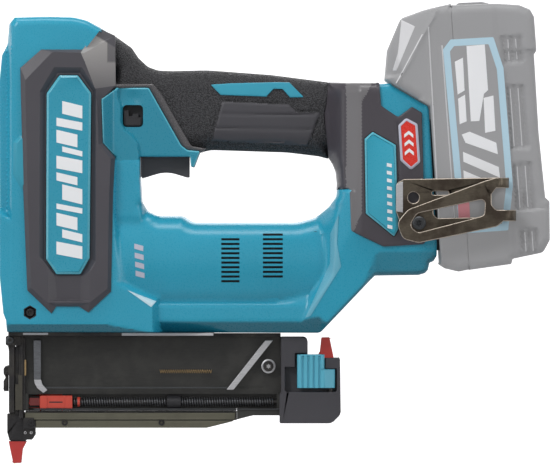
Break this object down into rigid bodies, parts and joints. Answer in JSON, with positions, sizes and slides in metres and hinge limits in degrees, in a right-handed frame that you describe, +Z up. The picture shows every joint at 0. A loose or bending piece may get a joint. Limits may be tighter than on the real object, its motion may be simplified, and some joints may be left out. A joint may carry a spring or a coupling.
{
  "type": "cordless pin nailer",
  "caption": "Cordless pin and brad nailer with a spring-driven blade in an upright front housing, a loop handle, a low side-loading magazine, a belt hook and a slide-on battery.",
  "frame": {"origin": "centre of the driver's exit in the bottom of the nose tip", "axes": "+Z up from the work along the driver's axis, +X from the nose to the battery, -Y the tool's left side with the belt hook"},
  "size_m": [0.2684, 0.0892, 0.2257],
  "materials": {
    "casing_blue": "satin moulded plastic with fine spark texture",
    "panel_grey": "matt dark grey moulded plastic",
    "grip_rubber": "matt pebbled rubber",
    "black_plastic": "matt black plastic",
    "circuit_board": "green board in clear potting",
    "lamp_lens": "clear moulded lens",
    "blackened_steel": "black oxide steel",
    "bright_steel": "ground bright steel",
    "spring_steel": "oiled spring steel",
    "gear_steel": "machined steel",
    "motor_iron": "varnished laminations",
    "cast_aluminium": "cast aluminium",
    "olive_steel": "dark olive zinc passivated steel, worn bright at the edges",
    "red_plastic": "satin red plastic",
    "battery_grey": "pale grey moulded plastic",
    "cell_jacket": "shrink sleeve"
  },
  "bodies": {
    "frame": {"housing_left": "casing_blue", "housing_right": "casing_blue", "housing_screws": "blackened_steel", "side_panel_left": "panel_grey", "side_panel_right": "panel_grey", "name_plate_left": "casing_blue", "name_plate_right": "casing_blue", "grip_left": "grip_rubber", "grip_right": "grip_rubber", "rear_cover_left": "panel_grey", "rear_cover_right": "panel_grey", "led_lamp": "lamp_lens", "main_switch": "black_plastic", "controller": "circuit_board", "terminal_block": "black_plastic", "motor_stator": "motor_iron", "motor_bearings": "bright_steel", "motor_end_plates": "cast_aluminium", "gear_case": "gear_steel", "mechanism_frame": "blackened_steel", "guide_rod": "bright_steel", "bumper": "grip_rubber", "driver_guide": "blackened_steel", "nose_pivot_pin": "bright_steel", "magazine_base": "blackened_steel", "bottom_rail": "olive_steel", "magazine_screws": "blackened_steel", "belt_hook": "olive_steel", "hook_screw": "blackened_steel", "main_spring": "spring_steel", "trigger_spring": "spring_steel"},
    "trigger": {"trigger": "black_plastic"},
    "lock_button": {"lock_button": "black_plastic"},
    "plunger": {"plunger": "gear_steel", "driver_blade": "bright_steel"},
    "lifter": {"lifter_gear": "gear_steel"},
    "carrier": {"planet_carrier": "gear_steel"},
    "planet_1": {"planet_gear_1": "gear_steel"},
    "planet_2": {"planet_gear_2": "gear_steel"},
    "planet_3": {"planet_gear_3": "gear_steel"},
    "rotor": {"motor_rotor": "motor_iron", "cooling_fan": "black_plastic"},
    "nose_door": {"nose_door": "blackened_steel", "latch_pivot_pin": "bright_steel"},
    "nose_latch": {"nose_latch": "bright_steel"},
    "nose_tip": {"nose_tip": "red_plastic"},
    "magazine": {"magazine_door": "blackened_steel", "magazine_end": "panel_grey", "pusher_rod": "bright_steel", "latch_shaft": "bright_steel", "pusher_spring": "spring_steel"},
    "magazine_latch": {"magazine_latch": "casing_blue"},
    "pusher": {"pusher": "red_plastic"},
    "spring_divider": {"spring_divider": "black_plastic"},
    "spare_tip": {"spare_tip": "red_plastic"},
    "battery": {"battery_case": "battery_grey", "battery_base": "battery_grey", "battery_cells": "cell_jacket"},
    "battery_button": {"battery_button": "battery_grey"}
  },
  "joints": [
    {"name": "trigger_slide", "type": "slide", "parent": "frame", "child": "trigger", "axis": [0, 0, 1], "range_m": [0, 0.006], "stiffness_N_per_m": 300, "springref_m": -0.003, "deforming": ["trigger_spring"]},
    {"name": "lock_slide", "type": "slide", "parent": "frame", "child": "lock_button", "axis": [0, 1, 0], "range_m": [0, 0.004]},
    {"name": "plunger_slide", "type": "slide", "parent": "frame", "child": "plunger", "axis": [0, 0, 1], "range_m": [-0.0615, 0], "deforming": ["main_spring"]},
    {"name": "lifter_spin", "type": "hinge", "parent": "frame", "child": "lifter", "pos_m": [0.05, 0, 0.133], "axis": [1, 0, 0], "range_deg": [-5, 270]},
    {"name": "carrier_spin", "type": "hinge", "parent": "frame", "child": "carrier", "pos_m": [0.05, 0, 0.094], "axis": [1, 0, 0], "range_deg": [-310, 5]},
    {"name": "rotor_spin", "type": "hinge", "parent": "frame", "child": "rotor", "pos_m": [0.1, 0, 0.094], "axis": [1, 0, 0], "range_deg": [-1580, 5]},
    {"name": "planet_1_spin", "type": "hinge", "parent": "carrier", "child": "planet_1", "pos_m": [0.067, 0, 0.1042], "axis": [1, 0, 0], "range_deg": [-5, 780]},
    {"name": "planet_2_spin", "type": "hinge", "parent": "carrier", "child": "planet_2", "pos_m": [0.067, -0.00883, 0.0889], "axis": [1, 0, 0], "range_deg": [-5, 780]},
    {"name": "planet_3_spin", "type": "hinge", "parent": "carrier", "child": "planet_3", "pos_m": [0.067, 0.00883, 0.0889], "axis": [1, 0, 0], "range_deg": [-5, 780]},
    {"name": "nose_door_hinge", "type": "hinge", "parent": "frame", "child": "nose_door", "pos_m": [-0.0036, 0, 0.0602], "axis": [0, 1, 0], "range_deg": [0, 100]},
    {"name": "nose_latch_hinge", "type": "hinge", "parent": "nose_door", "child": "nose_latch", "pos_m": [-0.0056, 0, 0.0454], "axis": [0, 1, 0], "range_deg": [0, 35]},
    {"name": "nose_tip_slide", "type": "slide", "parent": "frame", "child": "nose_tip", "axis": [0, 0, -1], "range_m": [0, 0.015]},
    {"name": "magazine_slide", "type": "slide", "parent": "frame", "child": "magazine", "axis": [1, 0, 0], "range_m": [0, 0.1]},
    {"name": "magazine_latch_hinge", "type": "hinge", "parent": "magazine", "child": "magazine_latch", "pos_m": [0.1535, -0.0094, 0.044], "axis": [0, 0, -1], "range_deg": [0, 6], "stiffness_Nm_per_rad": 0.6, "springref_deg": -2.86},
    {"name": "pusher_slide", "type": "slide", "parent": "magazine", "child": "pusher", "axis": [1, 0, 0], "range_m": [0, 0.07], "stiffness_N_per_m": 20, "springref_m": -0.02, "deforming": ["pusher_spring"]},
    {"name": "divider_slide", "type": "slide", "parent": "magazine", "child": "spring_divider", "axis": [1, 0, 0], "range_m": [0, 0.04]},
    {"name": "spare_tip_slide", "type": "slide", "parent": "magazine", "child": "spare_tip", "axis": [1, 0, 0], "range_m": [0, 0.012]},
    {"name": "battery_slide", "type": "slide", "parent": "frame", "child": "battery", "axis": [-0.0698, 0, 0.9976], "range_m": [0, 0.08]},
    {"name": "battery_button_slide", "type": "slide", "parent": "battery", "child": "battery_button", "axis": [0.0698, 0, -0.9976], "range_m": [0, 0.003], "stiffness_N_per_m": 400, "springref_m": -0.003}
  ],
  "couplings": [
    {"joint": "lifter_spin", "follows": "plunger_slide", "rad_per_m": -71.429},
    {"joint": "carrier_spin", "follows": "plunger_slide", "rad_per_m": 83.333},
    {"joint": "rotor_spin", "follows": "plunger_slide", "rad_per_m": 444.44},
    {"joint": "divider_slide", "follows": "pusher_slide", "ratio": 0.5},
    {"joint": "planet_1_spin", "follows": "plunger_slide", "rad_per_m": -216.67},
    {"joint": "planet_2_spin", "follows": "plunger_slide", "rad_per_m": -216.67},
    {"joint": "planet_3_spin", "follows": "plunger_slide", "rad_per_m": -216.67}
  ]
}
